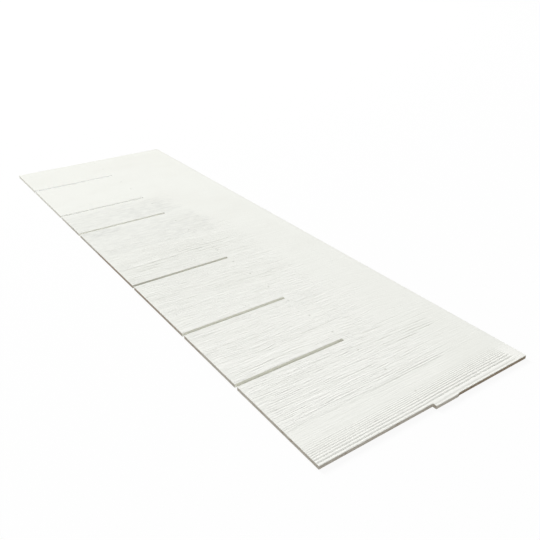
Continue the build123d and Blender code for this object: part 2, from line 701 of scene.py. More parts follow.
class FinishBench:
    """A node tree with the ways that nodes are added to it."""

    def __init__(self, tree: bpy.types.NodeTree) -> None:
        """Starts from an empty tree."""
        self.tree = tree
        self.tree.nodes.clear()

    def add(
        self,
        kind: str,
        settings: dict[str, Any] | None = None,
        sockets: dict[str | int, Any] | None = None,
        output: str | int = 0,
    ) -> Signal | None:
        """Adds a node, sets it and joins it up.

        Args:
            kind: The node's type.
            settings: The node's own settings, which are set first.
            sockets: A value or a signal for each input, by name or index.
            output: The output to give back.

        Returns:
            The node's output, or None for a node without outputs.
        """
        node = self.tree.nodes.new(kind)
        for name, value in (settings or {}).items():
            setattr(node, name, value)
        for key, value in (sockets or {}).items():
            if isinstance(value, Signal):
                self.tree.links.new(value.socket, node.inputs[key])
            else:
                node.inputs[key].default_value = value
        return Signal(self, node.outputs[output]) if node.outputs else None

    def place(self) -> Signal:
        """Gives the place on the panel, in metres, which is the object's own coordinates."""
        return self.add("ShaderNodeTexCoord", output="Object")

    def axes(self) -> tuple[Signal, Signal, Signal]:
        """Gives the X, Y and Z of the place on the panel."""
        x = self.add("ShaderNodeSeparateXYZ", sockets={"Vector": self.place()}, output="X")
        return x, x.outlet("Y"), x.outlet("Z")

    def noise(
        self,
        grains: Triple,
        detail: float = 3.0,
        roughness: float = 0.55,
        sway: Signal | None = None,
    ) -> Signal:
        """Adds noise that is stretched along the axes.

        Args:
            grains: Features per metre along X, Y and Z.
            detail: How many finer layers are added.
            roughness: How strong the finer layers are.
            sway: How far the noise is moved along X, in metres.

        Returns:
            The noise, around 0.5.
        """
        place = self.place()
        if sway is not None:
            aside = self.add("ShaderNodeCombineXYZ", sockets={"X": sway})
            place = self.add("ShaderNodeVectorMath", {"operation": "ADD"}, {0: place, 1: aside})
        stretched = self.add(
            "ShaderNodeVectorMath", {"operation": "MULTIPLY"}, {0: place, 1: grains}
        )
        return self.add(
            "ShaderNodeTexNoise",
            sockets={
                "Vector": stretched, "Scale": 1.0, "Detail": detail, "Roughness": roughness,
            },
            output="Fac",
        )

    def drift(self, grains: Triple, reach: float, detail: float = 3.0) -> Signal:
        """Adds noise around 0.

        Args:
            grains: Features per metre along X, Y and Z.
            reach: How far the noise goes from its lowest to its highest.
            detail: How many finer layers are added.

        Returns:
            The noise, up to half its reach to each side of 0.
        """
        return (self.noise(grains, detail) - 0.5) * reach

    def mix(self, share: Operand, first: Signal | Colour, second: Signal | Colour) -> Signal:
        """Mixes two colours.

        Args:
            share: How much of the second colour there is.
            first: The colour at a share of 0.
            second: The colour at a share of 1.

        Returns:
            The mixed colour.
        """
        return self.add(
            "ShaderNodeMix", {"data_type": "RGBA"}, {0: share, 6: first, 7: second}, output=2
        )

    def bump(self, height: Signal, relief: float) -> Signal:
        """Turns a height signal into a surface normal.

        Args:
            height: The height, as a share of the relief.
            relief: The height in metres of a signal of 1.

        Returns:
            The normal.
        """
        return self.add("ShaderNodeBump", sockets={"Height": height, "Distance": relief})

    def close(self, shader: Signal) -> None:
        """Sends a shader to the material's output."""
        self.add("ShaderNodeOutputMaterial", sockets={"Surface": shader})


@dataclass(frozen=True)
class RubbedPatch:
    """A patch of the face that is rubbed a little greyer, in millimetres.

    Attributes:
        start: Where the patch starts, from the plain end.
        end: Where it ends.
        foot: Where it starts, up from the butt edge.
        top: Where it ends.
        strength: How grey it is, from 0 to 1.
    """

    start: float
    end: float
    foot: float
    top: float
    strength: float


@dataclass(frozen=True)
class FaceZones:
    """Signals that tell where on the face a point is.

    Attributes:
        x: Its place along the panel.
        y: Its place up the panel.
        depth: How deep it lies below the highest level of the face.
        ridged: 1 among the ridges of the tab end, and 0 elsewhere.
        rippled: 0 on the smooth part towards the plain end, and 1 past it.
        calm: 1 towards the head edge, where the grain is faint, and 0 below.
    """

    x: Signal
    y: Signal
    depth: Signal
    ridged: Signal
    rippled: Signal
    calm: Signal


@dataclass(frozen=True)
class FacePrimer:
    """The factory primer on the grained face: a warm matt white, rubbed grey in a few places, with painted
    highlights and painted shade.

    Stretches are (from, to) in millimetres from the plain end. Grains are features of a noise per
    metre along X, Y and Z, and an edge is the two levels of a noise between which its marks set in.

    Attributes:
        name: The finish's name.
        film: The primer.
        cloud_and_painted_shade: Its darker tone in faint clouds, and painted shade towards the plain end.
        cloud_and_shade_share: How strong that tone and that painted shade are.
        painted_shade_stretch: Where the painted shade of the plain end fades.
        painted_light: Painted highlight and painted brightening: brighter primer on crests, on the ridges
            and over the near face.
        crest_depth: How deep the crests reach.
        crest_shares: How strong the painted highlight is off the crests and on them.
        lift_stretch: Where all of the face is painted a little brighter, against the shade of its ripples
            and grooves.
        lift_fades: Over how much length that sets in and stops.
        lift_share: How much brighter it is.
        calm_shares: How much of that painted brightness is left below and in the calm zone.
        ridge_shares: How strong the painted highlight on the ridges is below and in the calm zone.
        painted_groove_shade: Painted shade in the grooves.
        hollow_depth: The depth that has all of it.
        hollow_shares: How strong it is in the grain and among the ridges.
        nail_mark_dark: The darker colour in the nail marks.
        nail_dark_depths: The depths at which it starts and is strongest.
        nail_dark_reach: How far from the line of the nail marks it lies.
        nail_dark_fade: Over how much of that it fades out.
        nail_dark_share: How strong it is.
        rubbed: The grey of the rubbed patches.
        patches: The rubbed patches.
        patch_fade: Over how much they fade at each edge.
        rag: How far their edges stray along and up the panel.
        ridge_stretch: Where the ridges set in.
        ripple_stretch: Where the ripples set in.
        calm_reach: Where the calm zone sets in, above the keyway tops.
        smooth_stretch: Where the ripples get weak again, before the ridges.
        ripple_shares: How strong the ripples are before and after they set in.
        weak_share: How much of them is left in the calm zone and before the ridges.
        cluster_shares: How strong they are between their clusters and in them.
        ripple_relief: The height of the ripples.
        sway: How far the ripples are swayed along the panel.
        brush_relief: The height of the brush marks.
        fibre_share: How much of the brush marks is fibres, and not pores.
        roughness: The roughness of the primer.
        pore_roughness: How much it changes with the pores.
        sheen_level: How strong its shine is.
    """

    name: str = "factory_primer"
    film: Colour = screen(239, 240, 234)
    cloud_and_painted_shade: Colour = screen(233, 233, 226)
    cloud_grains: Triple = (9.0, 5.0, 1.0)
    cloud_edge: Pair = (0.42, 0.72)
    cloud_and_shade_share: float = 0.35
    painted_shade_stretch: Pair = (0.0, 260.0)
    painted_light: Colour = screen(247, 247, 242)
    crest_depth: float = 0.16 * MM
    crest_shares: Pair = (0.2, 0.65)
    lift_stretch: Pair = (680.0, 1156.0)
    lift_fades: Pair = (400 * MM, 26 * MM)
    lift_share: float = 0.46
    calm_shares: Pair = (1.0, 0.2)
    ridge_shares: Pair = (0.5, 0.8)
    painted_groove_shade: Colour = screen(212, 213, 204)
    hollow_depth: float = 0.60 * MM
    hollow_shares: Pair = (0.36, 0.30)
    nail_mark_dark: Colour = screen(176, 177, 168)
    nail_dark_depths: Pair = (0.42 * MM, 0.72 * MM)
    nail_dark_reach: float = 4 * MM
    nail_dark_fade: float = 2 * MM
    nail_dark_share: float = 0.3
    rubbed: Colour = screen(203, 204, 200)
    patches: tuple[RubbedPatch, ...] = (
        RubbedPatch(322, 440, -30, 250, 0.32),
        RubbedPatch(350, 452, 120, 230, 0.22),
        RubbedPatch(424, 484, -30, 90, 0.45),
        RubbedPatch(430, 580, -30, 270, 0.28),
        RubbedPatch(460, 560, 130, 262, 0.12),
        RubbedPatch(720, 806, -30, 260, 0.05),
        RubbedPatch(868, 918, 182, 268, 0.15),
    )
    patch_fade: float = 26 * MM
    smear_grains: Triple = (150.0, 45.0, 1.0)
    smear_edge: Pair = (0.26, 0.74)
    rag: Pair = (40 * MM, 110 * MM)
    rag_grains: tuple[Triple, Triple] = ((60.0, 30.0, 1.0), (40.0, 25.0, 2.0))
    ridge_stretch: Pair = (1172.0, 1196.0)
    ripple_stretch: Pair = (430.0, 620.0)
    calm_reach: Pair = (50 * MM, 120 * MM)
    smooth_stretch: Pair = (1138.0, 1154.0)
    ripple_grains: Triple = (430.0, 30.0, 1.0)
    ripple_shares: Pair = (0.2, 1.0)
    weak_share: float = 0.4
    cluster_grains: Triple = (20.0, 11.0, 1.0)
    cluster_edge: Pair = (0.36, 0.62)
    cluster_shares: Pair = (0.8, 1.0)
    ripple_relief: float = 2.0 * MM
    sway: float = 30 * MM
    sway_grains: Triple = (11.0, 7.0, 1.0)
    brush_relief: float = 0.10 * MM
    fibre_grains: Triple = (620.0, 16.0, 620.0)
    fibre_share: float = 0.75
    pore_grains: Triple = (1500.0, 900.0, 1500.0)
    roughness: float = 0.86
    pore_roughness: float = 0.14
    sheen_level: float = 0.25

    def paint(self, bench: FinishBench, layout: PanelLayout) -> None:
        """Builds the finish.

        Args:
            bench: The bench of the finish's material.
            layout: The panel's layout.
        """
        x, y, z = bench.axes()
        zones = FaceZones(
            x=x,
            y=y,
            depth=layout.thickness - z,
            ridged=x.ease(*layout.stretch(self.ridge_stretch)),
            rippled=x.ease(*layout.stretch(self.ripple_stretch)),
            calm=y.ease(*(layout.keyway_top + offset for offset in self.calm_reach)),
        )
        pores = bench.noise(self.pore_grains, detail=2.0)
        colour = self._rub(bench, layout, zones, self._film(bench, layout, zones))
        bench.close(bench.add("ShaderNodeBsdfPrincipled", sockets={
            "Base Color": colour,
            "Roughness": self.roughness + self.pore_roughness * (pores - 0.5),
            "Specular IOR Level": self.sheen_level,
            "Normal": self._relief(bench, layout, zones, pores),
        }))

    def _film(self, bench: FinishBench, layout: PanelLayout, zones: FaceZones) -> Signal:
        """Colours the primer: clouded, with painted shade towards the plain end and in grooves, painted
        highlights on crests and ridges, and darker in nail marks.

        Args:
            bench: The bench of the finish's material.
            layout: The panel's layout.
            zones: Where a point is.

        Returns:
            The colour of the primer.
        """
        clouds = bench.noise(self.cloud_grains).ease(*self.cloud_edge)
        # Painted shade: the primer is painted darker towards the plain end, against the brighter light
        # there; the clouds are the primer's own uneven tone.
        far = 1 - zones.x.ease(*layout.stretch(self.painted_shade_stretch))
        colour = bench.mix((clouds + far) * self.cloud_and_shade_share, self.film, self.cloud_and_painted_shade)

        # Painted highlight on crests and ridges, and painted brightening of the near face against the shade
        # of its ripples and grooves.
        crest = 1 - zones.depth.ease(0.0, self.crest_depth)
        painted_lift = zones.x.band(*layout.stretch(self.lift_stretch), *self.lift_fades)
        painted_light = zones.rippled * crest.between(*self.crest_shares) + painted_lift * self.lift_share
        painted_light = painted_light * zones.calm.between(*self.calm_shares)
        painted_light = painted_light + zones.ridged * zones.calm.between(*self.ridge_shares)
        colour = bench.mix(painted_light, colour, self.painted_light)

        # Painted shade: the primer is painted darker in the grooves, where shade falls.
        sunk = zones.depth.ease(0.0, self.hollow_depth)
        colour = bench.mix(sunk * zones.ridged.between(*self.hollow_shares), colour, self.painted_groove_shade)
        # The nail marks are painted darker towards their bottoms.
        foot, top = layout.keyway_top - self.nail_dark_reach, layout.keyway_top + self.nail_dark_reach
        nailed = zones.y.band(foot, top, self.nail_dark_fade, self.nail_dark_fade)
        nail_darkened = zones.depth.ease(*self.nail_dark_depths) * nailed * (1 - zones.ridged)
        return bench.mix(nail_darkened * self.nail_dark_share, colour, self.nail_mark_dark)

    def _rub(self, bench: FinishBench, layout: PanelLayout, zones: FaceZones, colour: Signal) -> Signal:
        """Rubs the patches grey, with ragged edges.

        Args:
            bench: The bench of the finish's material.
            layout: The panel's layout.
            zones: Where a point is.
            colour: The colour of the primer.

        Returns:
            The colour with the rubbed patches.
        """
        smears = bench.noise(self.smear_grains, detail=4.0).ease(*self.smear_edge)
        ragged_x, ragged_y = (
            place + bench.drift(grains, rag, detail=5.0)
            for place, grains, rag in zip((zones.x, zones.y), self.rag_grains, self.rag)
        )
        for patch in self.patches:
            foot, top = (layout.butt + place * MM for place in (patch.foot, patch.top))
            fades = (self.patch_fade, self.patch_fade)
            across = ragged_x.band(*layout.stretch((patch.start, patch.end)), *fades)
            along = ragged_y.band(foot, top, *fades)
            colour = bench.mix(across * along * patch.strength * smears, colour, self.rubbed)
        return colour

    def _relief(self, bench: FinishBench, layout: PanelLayout, zones: FaceZones, pores: Signal) -> Signal:
        """Makes the finest relief: ripples that follow the grain, and brush marks.

        Args:
            bench: The bench of the finish's material.
            layout: The panel's layout.
            zones: Where a point is.
            pores: The noise of the pores.

        Returns:
            The normal of the surface.
        """
        swaying = 1 - zones.x.ease(*layout.stretch(EVEN_STRETCH))
        sway = bench.drift(self.sway_grains, self.sway, detail=2.0) * swaying
        clusters = bench.noise(self.cluster_grains, detail=1.0).ease(*self.cluster_edge)
        smooth = zones.x.ease(*layout.stretch(self.smooth_stretch))
        reach = zones.rippled.between(*self.ripple_shares) * zones.calm.between(1.0, self.weak_share)
        reach = reach * smooth.between(1.0, self.weak_share)
        ripples = bench.noise(self.ripple_grains, detail=2.0, sway=sway)
        ripples = ripples * clusters.between(*self.cluster_shares) * reach
        fibres = bench.noise(self.fibre_grains, detail=4.0)
        brushed = fibres * self.fibre_share + pores * (1 - self.fibre_share)
        brushed = brushed * (self.brush_relief / self.ripple_relief)
        return bench.bump(ripples + brushed, self.ripple_relief)


@dataclass(frozen=True)
class CutEdge:
    """A cut edge of the sheet: thin plies of fibre cement, with primer that ran over the arris.

    Grains and edges of a noise are as in FacePrimer.

    Attributes:
        name: The finish's name.
        ply: The main colour of the plies.
        dark_ply: The colour of the darker plies.
        speck_share: How dark the specks of the plies are.
        film: The primer that ran over the arris.
        film_reach: How far the primer reaches down from the face.
        film_fade: Over how much height it thins out.
        film_run: How unevenly it ran down.
        coat_end: Up to where primer covers the whole edge, in millimetres from the plain end.
        coat_fade: Over how much length before that it thins out, in millimetres.
        coat_share: How well it covers.
        tan: The browner colour of a worn stretch.
        tan_stretch: (from, to) of that stretch, in millimetres from the plain end.
        tan_fades: Over how much length the stretch sets in and stops.
        tan_share: How brown the stretch is.
        chip_share: How brown the chips along the edge are.
        mouth_share: How much browner the stretch gets towards the butt.
        mouth_reach: From how far above the butt it does so.
        roughness: The roughness of the bare edge.
        film_gloss: How much smoother the primer is.
        tooth: The height of the plies and specks.
        ply_tooth: How much of that height is plies, and not specks.
    """

    name: str
    ply: Colour
    dark_ply: Colour
    ply_grains: Triple = (45.0, 45.0, 1500.0)
    ply_edge: Pair = (0.36, 0.66)
    speck_grains: Triple = (800.0, 800.0, 1100.0)
    speck_edge: Pair = (0.55, 0.75)
    speck_share: float = 0.35
    film: Colour = screen(232, 232, 224)
    film_reach: float = 0.9 * MM
    film_fade: float = 0.4 * MM
    film_run: float = 1.6 * MM
    run_grains: Triple = (170.0, 170.0, 60.0)
    coat_end: float = 0.0
    coat_fade: float = 290.0
    coat_share: float = 0.85
    tan: Colour = screen(128, 103, 80)
    tan_stretch: Pair = (505.0, 1040.0)
    tan_fades: Pair = (60 * MM, 360 * MM)
    tan_share: float = 0.0
    chip_grains: Triple = (120.0, 120.0, 160.0)
    chip_edge: Pair = (0.54, 0.70)
    chip_share: float = 0.0
    mouth_share: float = 0.0
    mouth_reach: float = 110 * MM
    roughness: float = 0.85
    film_gloss: float = 0.2
    tooth: float = 0.25 * MM
    ply_tooth: float = 0.5

    def paint(self, bench: FinishBench, layout: PanelLayout) -> None:
        """Builds the finish.

        Args:
            bench: The bench of the finish's material.
            layout: The panel's layout.
        """
        x, y, z = bench.axes()
        plies = bench.noise(self.ply_grains).ease(*self.ply_edge)
        specks = bench.noise(self.speck_grains)
        chips = bench.noise(self.chip_grains, detail=4.0, roughness=0.7)
        colour = bench.mix(plies, self.dark_ply, self.ply)
        colour = bench.mix(specks.ease(*self.speck_edge) * self.speck_share, colour, self.dark_ply)
        colour = bench.mix(chips.ease(*self.chip_edge) * self.chip_share, colour, self.tan)
        if self.tan_share > 0:
            worn = x.band(*layout.stretch(self.tan_stretch), *self.tan_fades)
            share: Operand = self.tan_share
            if self.mouth_share > 0:
                above = y.ease(layout.butt, layout.butt + self.mouth_reach)
                share = above.between(self.tan_share + self.mouth_share, self.tan_share)
            colour = bench.mix(worn * share, colour, self.tan)
        if self.coat_end > 0:
            coated = 1 - x.ease(*layout.stretch((self.coat_end - self.coat_fade, self.coat_end)))
            colour = bench.mix(coated * self.coat_share, colour, self.film)
        film_end = layout.thickness - self.film_reach
        run = z + bench.drift(self.run_grains, self.film_run)
        film = run.ease(film_end - self.film_fade, film_end)
        bench.close(bench.add("ShaderNodeBsdfPrincipled", sockets={
            "Base Color": bench.mix(film, colour, self.film),
            "Roughness": self.roughness - self.film_gloss * film,
            "Normal": bench.bump(plies * self.ply_tooth + specks * (1 - self.ply_tooth), self.tooth),
        }))


@dataclass(frozen=True)
class SheetBack:
    """The unpainted back: grey fibre cement with faint felt marks along the sheet.

    Grains and edges of a noise are as in FacePrimer.

    Attributes:
        name: The finish's name.
        cement: The grey of the cement.
        pale: Its paler clouds.
        dark: The felt marks.
        mark_share: How dark the felt marks are.
        roughness: The roughness of the back.
        cloud_gloss: How much smoother the clouds are.
        felt_relief: The height of the felt marks and of the weave.
        felt_share: How much of that height is felt marks, and not weave.
    """

    name: str = "felt_marked_back"
    cement: Colour = screen(181, 177, 166)
    pale: Colour = screen(198, 195, 186)
    cloud_grains: Triple = (7.0, 11.0, 1.0)
    cloud_edge: Pair = (0.35, 0.7)
    dark: Colour = screen(160, 155, 144)
    felt_grains: Triple = (60.0, 750.0, 1.0)
    felt_edge: Pair = (0.5, 0.75)
    mark_share: float = 0.5
    weave_grains: Triple = (900.0, 240.0, 1.0)
    roughness: float = 0.9
    cloud_gloss: float = 0.08
    felt_relief: float = 0.18 * MM
    felt_share: float = 0.6

    def paint(self, bench: FinishBench, layout: PanelLayout) -> None:
        """Builds the finish.

        Args:
            bench: The bench of the finish's material.
            layout: The panel's layout, which is not used.
        """
        clouds = bench.noise(self.cloud_grains, detail=5.0)
        felt = bench.noise(self.felt_grains)
        weave = bench.noise(self.weave_grains, detail=2.0)
        colour = bench.mix(clouds.ease(*self.cloud_edge), self.cement, self.pale)
        colour = bench.mix(felt.ease(*self.felt_edge) * self.mark_share, colour, self.dark)
        height = felt * self.felt_share + weave * (1 - self.felt_share)
        bench.close(bench.add("ShaderNodeBsdfPrincipled", sockets={
            "Base Color": colour,
            "Roughness": self.roughness - self.cloud_gloss * clouds,
            "Normal": bench.bump(height, self.felt_relief),
        }))


Finish = Union[FacePrimer, CutEdge, SheetBack]

FINISHES: dict[Surface, Finish] = {
    Surface.FACE: FacePrimer(),
    Surface.SEALED_EDGE: CutEdge(
        "sealed_edge", screen(190, 185, 174), screen(160, 154, 143), coat_end=480.0, coat_share=0.7,
        tan_share=0.6, chip_share=0.6,
    ),
    Surface.RAW_CUT: CutEdge(
        "raw_cut", screen(150, 136, 117), screen(114, 100, 82), tan=screen(86, 74, 60), chip_share=0.4,
    ),
    Surface.KEYWAY_WALL: CutEdge(
        "keyway_wall", screen(231, 231, 221), screen(220, 220, 209), film=screen(246, 247, 245),
        film_reach=-0.2 * MM, coat_end=510.0, coat_share=1.0, tan=screen(142, 138, 126),
        tan_stretch=(505.0, 900.0), tan_share=0.25, chip_share=0.15, mouth_share=0.39,
    ),
    Surface.BACK: SheetBack(),
}


@dataclass
class ShinglePanel:
    """The one sheet: its grained face, its cut walls and its back, as one closed mesh.

    The face is a fine grid whose lines run through every wall and bend with the grain between them.
    The back is a coarse grid on a few of the same lines, and each wall face joins a run of fine
    points to one coarse step.

    Attributes:
        layout: Where the edges, keyways and nail marks are.
        grain: The grain of the face.
        column_pitches: The gap between columns at the plain end and at the tab end.
        row_pitch: The gap between rows.
        coarse_pitch: The least gap between lines of the back.
        arris_shares: Where lines follow the eased edge, as shares of its width.
        corner_angles: Where columns follow the round corners of a keyway, in degrees.
        corner_reach: How far above and below the keyway tops the rows bend into the corners.
        nail_rows: The number of rows on each side of the line of the nail marks.
        nail_band: How far they reach, in radii of a nail mark.
        strip_rows: Rows about the lower edge of the smooth strip.
        wall_reach: How far from a wall the columns are free to follow the grain.
        step_reach: The same at the step under the tab.
    """

    layout: PanelLayout
    grain: WoodGrain
    column_pitches: Pair = (1.45 * MM, 0.54 * MM)
    row_pitch: float = 9.0 * MM
    coarse_pitch: float = 30.0 * MM
    arris_shares: tuple[float, ...] = (0.15, 0.5, 1.0)
    corner_angles: tuple[float, ...] = (0, 25, 50, 70, 90)
    corner_reach: float = 8.0 * MM
    nail_rows: int = 3
    nail_band: float = 1.1
    strip_rows: tuple[float, ...] = (-4 * MM, -2 * MM, 0.0, 2 * MM, 4 * MM)
    wall_reach: float = 24.0 * MM
    step_reach: float = 3.6 * MM

    def build(self) -> bpy.types.Object:
        """Makes the mesh and its object.

        Returns:
            The panel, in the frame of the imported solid.
        """
        columns, rows = self._columns(), self._rows()
        x, y = self._points(columns, rows)
        solid = self._solid(columns, rows)
        z = self._face_height(x, y)

        used = np.zeros(x.shape, dtype=bool)
        for row_shift in (0, 1):
            for column_shift in (0, 1):
                height, width = solid.shape
                used[
                    row_shift:row_shift + height, column_shift:column_shift + width
                ] |= solid
        index = np.full(x.shape, -1)
        index[used] = np.arange(used.sum())
        points = np.column_stack([x[used], y[used], z[used]]).tolist()

        cells = np.argwhere(solid)
        row, column = cells[:, 0], cells[:, 1]
        faces = np.column_stack([
            index[row, column], index[row, column + 1],
            index[row + 1, column + 1], index[row + 1, column],
        ]).tolist()
        surfaces = [Surface.FACE] * len(faces)
        self._close_below(columns, rows, x, y, index, points, faces, surfaces)

        mesh = bpy.data.meshes.new(PANEL_NODE)
        mesh.from_pydata(points, [], faces)
        mesh.polygons.foreach_set("material_index", [surface.value for surface in surfaces])
        mesh.polygons.foreach_set("use_smooth", [surface is Surface.FACE for surface in surfaces])
        mesh.update()
        piece = bpy.data.objects.new("embossed_shingle_panel", mesh)
        bpy.context.scene.collection.objects.link(piece)
        return piece

    def dress(self, piece: bpy.types.Object) -> None:
        """Gives the panel a material for each kind of surface.

        Args:
            piece: The panel.
        """
        for surface in Surface:
            finish = FINISHES[surface]
            material = bpy.data.materials.new(finish.name)
            material.use_nodes = True
            finish.paint(FinishBench(material.node_tree), self.layout)
            piece.data.materials.append(material)

    def _stretch(self, start: float, end: float, pitch: float, eased: tuple[bool, bool]) -> list[float]:
        """Spaces grid lines over a stretch, close together at its eased ends.

        Args:
            start: Where the stretch starts.
            end: Where it ends.
            pitch: The widest gap between lines.
            eased: Whether the face is eased at the start, and at the end.

        Returns:
            The lines, with both ends.
        """
        near = [self.layout.arris * share for share in self.arris_shares]
        head = [start + offset for offset in near] if eased[0] else [start]
        tail = [end - offset for offset in near] if eased[1] else [end]
        count = max(2, math.ceil((tail[-1] - head[-1]) / pitch) + 1)
        return [start, *head, *np.linspace(head[-1], tail[-1], count), *tail, end]

    def _columns(self) -> Array:
        """Places the grid lines across the panel, through the walls of every keyway.

        Returns:
            The X of each line, in order.
        """
        layout, lines = self.layout, []
        ends = (layout.plain_end, layout.tab_tip)
        turns = layout.keyway_corner * (1 - np.cos(np.radians(self.corner_angles)))
        start = layout.plain_end
        for left, right in layout.keyways:
            pitch = np.interp((start + left) / 2, ends, self.column_pitches)
            lines += self._stretch(start, left, pitch, (True, True))
            lines += [*(left + turns), (left + right) / 2, *(right - turns)]
            start = right
        finest = self.column_pitches[1]
        lines += self._stretch(start, layout.step_end, finest, (True, True))
        lines += self._stretch(layout.step_end, layout.tab_tip, finest, (True, True))
        return np.unique(np.round(lines, 7))

    def _rows(self) -> Array:
        """Places the grid lines up the panel, closer at the nail marks and the smooth strip.

        Returns:
            The Y of each line, in order.
        """
        layout = self.layout
        line, reach = layout.keyway_top, layout.nail_radius * self.nail_band
        strip = [layout.head - self.grain.margin * MM + offset for offset in self.strip_rows]
        lines = self._stretch(layout.butt, line - reach, self.row_pitch, (True, False))
        lines += list(np.linspace(line - reach, line, self.nail_rows + 1))
        lines += self._stretch(line, line + reach, reach / self.nail_rows, (True, False))
        lines += self._stretch(line + reach, layout.tab_top, self.row_pitch, (False, False))
        lines += self._stretch(layout.shoulder_top, strip[0], self.row_pitch, (False, False))
        lines += strip
        lines += self._stretch(strip[-1], layout.head, self.row_pitch, (False, True))
        return np.unique(np.round(lines, 7))

    def _points(self, columns: Array, rows: Array) -> tuple[Array, Array]:
        """Puts the grid's points in place: round the keyway corners and along the tab end.

        Args:
            columns: The grid lines across the panel.
            rows: The grid lines up the panel.

        Returns:
            The X and the Y of every point, by row and column.
        """
        layout = self.layout
        x, y = np.meshgrid(columns, rows)
        bend = MM * self.grain.bend((x - layout.plain_end) / MM, (y - layout.butt) / MM)
        x = x + bend * self._freedom(x, y)
        past_step = np.clip((x - layout.step_end) / (layout.tab_tip - layout.step_end), 0.0, 1.0)
        end = layout.end_at(y)
        x = np.where(past_step > 0, layout.step_end + past_step * (end - layout.step_end), x)
        near = np.clip(1 - np.abs(y - layout.keyway_top) / self.corner_reach, 0.0, 1.0)
        return x, y - layout.corner_drop(x) * near

    def _freedom(self, x: Array, y: Array) -> Array:
        """Says how freely grid points may move with the grain: 0 on a wall, and 1 well away from it.

        Args:
            x: The X of every point.
            y: The Y of every point, in the same shape.

        Returns:
            The share of the grain's bend that each point takes.
        """
        layout, reach = self.layout, self.wall_reach
        free = ease(x - layout.plain_end, 0.0, reach) * ease(layout.step_end - x, 0.0, self.step_reach)
        held = 1.0 - ease(y - layout.keyway_top, 0.0, reach)
        for left, right in layout.keyways:
            free *= 1.0 - held * (1.0 - ease(np.maximum(left - x, x - right), 0.0, reach))
        return free

    def _solid(self, columns: Array, rows: Array) -> NDArray[np.bool_]:
        """Says which cells of the grid are sheet, and not keyway or the step under the tab.

        Args:
            columns: The grid lines across the panel.
            rows: The grid lines up the panel.

        Returns:
            True for each cell of sheet, by row and column.
        """
        across, up = np.meshgrid((columns[:-1] + columns[1:]) / 2, (rows[:-1] + rows[1:]) / 2)
        cut = across > self.layout.step_end
        for left, right in self.layout.keyways:
            cut |= (across > left) & (across < right)
        return ~(cut & (up < self.layout.keyway_top))

    def _face_height(self, x: Array, y: Array) -> Array:
        """Works out the height of the face: its grain, its nail marks and its eased edge.

        Args:
            x: The X of every point.
            y: The Y of every point, in the same shape.

        Returns:
            The Z of every point.
        """
        layout = self.layout
        height = MM * self.grain.height(
            (x - layout.plain_end) / MM, (y - layout.butt) / MM, (layout.head - layout.butt) / MM
        )
        ball = (layout.nail_radius**2 + layout.nail_depth**2) / (2 * layout.nail_depth)
        for mark_x, mark_y in layout.nail_marks:
            reach = np.hypot(x - mark_x, y - mark_y)
            near = reach < layout.nail_radius
            dip = ball - layout.nail_depth - np.sqrt(ball**2 - reach[near] ** 2)
            height[near] = np.minimum(height[near], dip)
        short = np.clip(layout.arris - layout.edge_distance(x, y), 0.0, layout.arris)
        eased = layout.arris - np.sqrt(layout.arris**2 - short**2)
        return layout.thickness + height - eased

    def _coarse(self, lines: Array, walls: list[float]) -> list[int]:
        """Picks the grid lines that the back uses.

        Args:
            lines: The grid lines in one direction.
            walls: Places that the back needs a line at.

        Returns:
            The indices of the lines, in order.
        """
        kept = {0, len(lines) - 1}
        kept.update(int(np.argmin(np.abs(lines - wall))) for wall in walls)
        last = lines[0]
        for number, line in enumerate(lines):
            if number in kept or line - last > self.coarse_pitch:
                kept.add(number)
                last = line
        return sorted(kept)

    def _close_below(
        self,
        columns: Array,
        rows: Array,
        x: Array,
        y: Array,
        index: NDArray[np.int_],
        points: list[list[float]],
        faces: list[list[int]],
        surfaces: list[Surface],
    ) -> None:
        """Adds the walls and the back under the face, and so closes the mesh.

        Args:
            columns: The grid lines across the panel.
            rows: The grid lines up the panel.
            x: The X of every grid point.
            y: The Y of every grid point.
            index: The number of each face point, by row and column.
            points: The mesh's points, which grow.
            faces: The mesh's faces, which grow.
            surfaces: The kind of each face, which grow with them.
        """
        layout = self.layout
        in_keyways = [
            float(c) for c in columns
            if any(left <= c <= right for left, right in layout.keyways) or c >= layout.step_end
        ]
        across = self._coarse(columns, in_keyways)
        up = self._coarse(rows, [layout.keyway_top, layout.tab_top, layout.shoulder_top])
        solid = self._solid(columns[across], rows[up])
        below: dict[tuple[int, int], int] = {}

        def under(row: int, column: int) -> int:
            """Gives the back point under a face point, and adds it if it is new.

            Args:
                row: The row of the face point.
                column: Its column.

            Returns:
                The number of the back point.
            """
            if (row, column) not in below:
                below[row, column] = len(points)
                points.append([float(x[row, column]), float(y[row, column]), 0.0])
            return below[row, column]

        def wall(chain: list[tuple[int, int]], surface: Surface) -> None:
            """Adds a wall under a run of face points that has the sheet on its left.

            Args:
                chain: The row and column of each point of the run.
                surface: The kind of surface that the wall is.
            """
            faces.append(
                [under(*chain[0]), under(*chain[-1])] + [int(index[place]) for place in chain[::-1]]
            )
            surfaces.append(surface)

        height, width = solid.shape
        for i, j in np.argwhere(solid):
            low, high, left, right = up[i], up[i + 1], across[j], across[j + 1]
            faces.append([under(low, left), under(high, left), under(high, right), under(low, right)])
            surfaces.append(Surface.BACK)
            if i == 0 or not solid[i - 1, j]:
                wall([(low, c) for c in range(left, right + 1)], self._wall_below(x[low, left], i))
            if i == height - 1:
                wall([(high, c) for c in range(right, left - 1, -1)], Surface.SEALED_EDGE)
            if j == 0 or not solid[i, j - 1]:
                kind = Surface.SEALED_EDGE if j == 0 else Surface.KEYWAY_WALL
                wall([(r, left) for r in range(high, low - 1, -1)], kind)
            if j == width - 1 or not solid[i, j + 1]:
                kind = self._wall_right(x[low, right], y[low, right])
                wall([(r, right) for r in range(low, high + 1)], kind)

